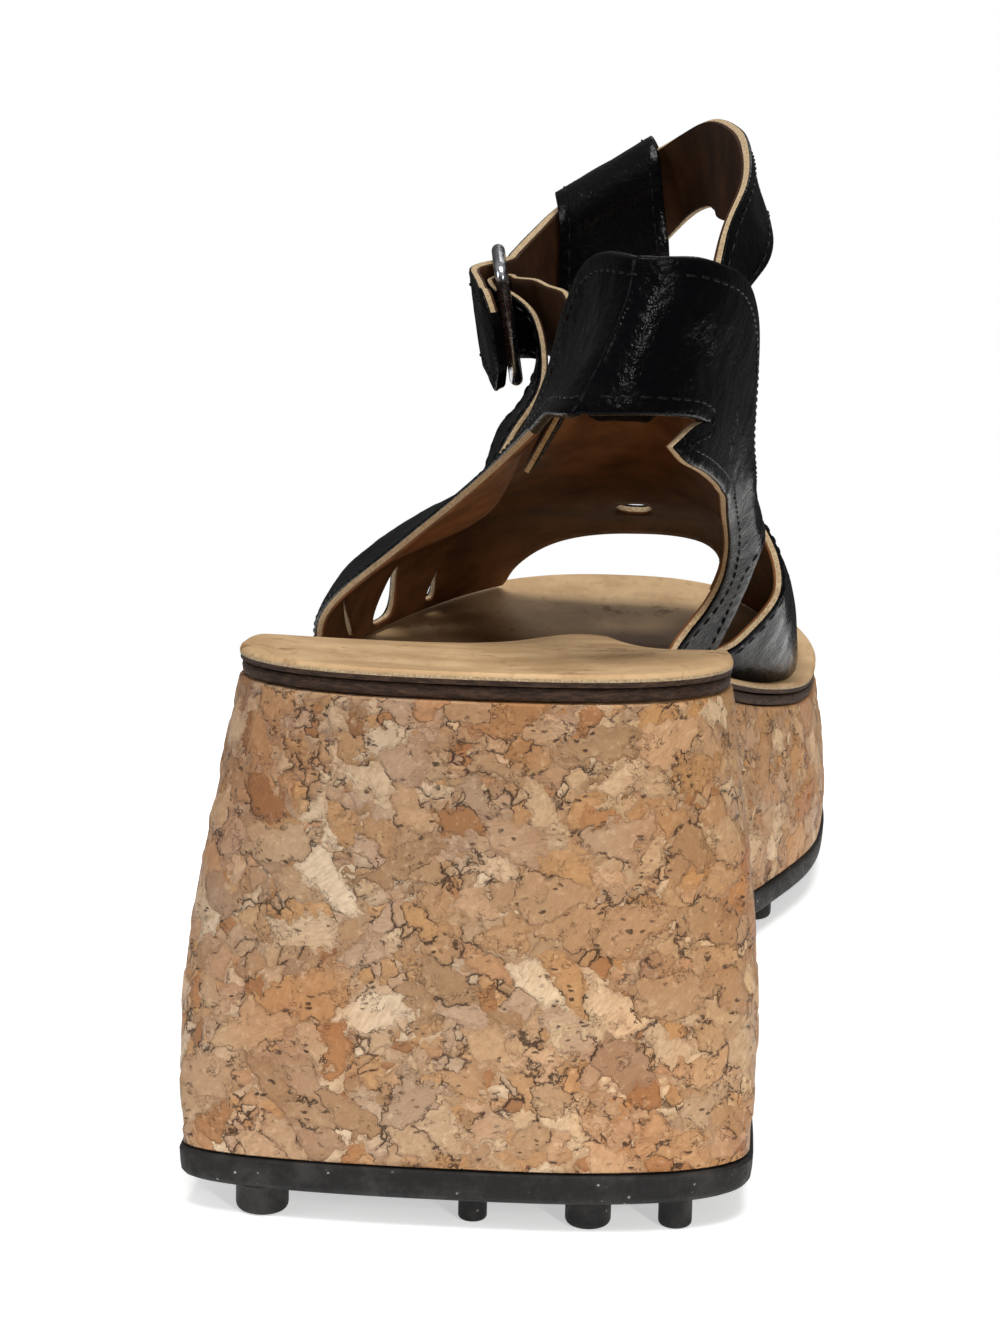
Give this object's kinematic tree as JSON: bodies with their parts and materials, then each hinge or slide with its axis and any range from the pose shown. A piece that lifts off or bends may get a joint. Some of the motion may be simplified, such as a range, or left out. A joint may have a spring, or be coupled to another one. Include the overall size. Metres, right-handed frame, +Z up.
{
  "type": "platform sandal",
  "caption": "Left platform sandal with a cork wedge, studded rubber outsole, peep-toe T-strap upper, slingback and buckled ankle strap.",
  "frame": {"origin": "centre of the bounding box on the floor", "axes": "+Y from heel to toe, +X to the medial side, +Z up"},
  "size_m": [0.099, 0.256, 0.1463],
  "materials": {
    "rubber": "matt",
    "cork": "satin granulated cork",
    "dark_leather": "matt",
    "tan_leather": "smooth, matt",
    "black_leather": "glossy, pebbled",
    "polished_steel": "polished"
  },
  "bodies": {
    "root": {"outsole": "rubber", "wedge": "cork", "rand": "dark_leather", "insole": "tan_leather", "upper": "black_leather", "ankle_strap": "black_leather", "strap_loop": "black_leather", "buckle_tab": "black_leather", "buckle_frame": "polished_steel", "buckle_prong": "polished_steel"}
  },
  "joints": []
}
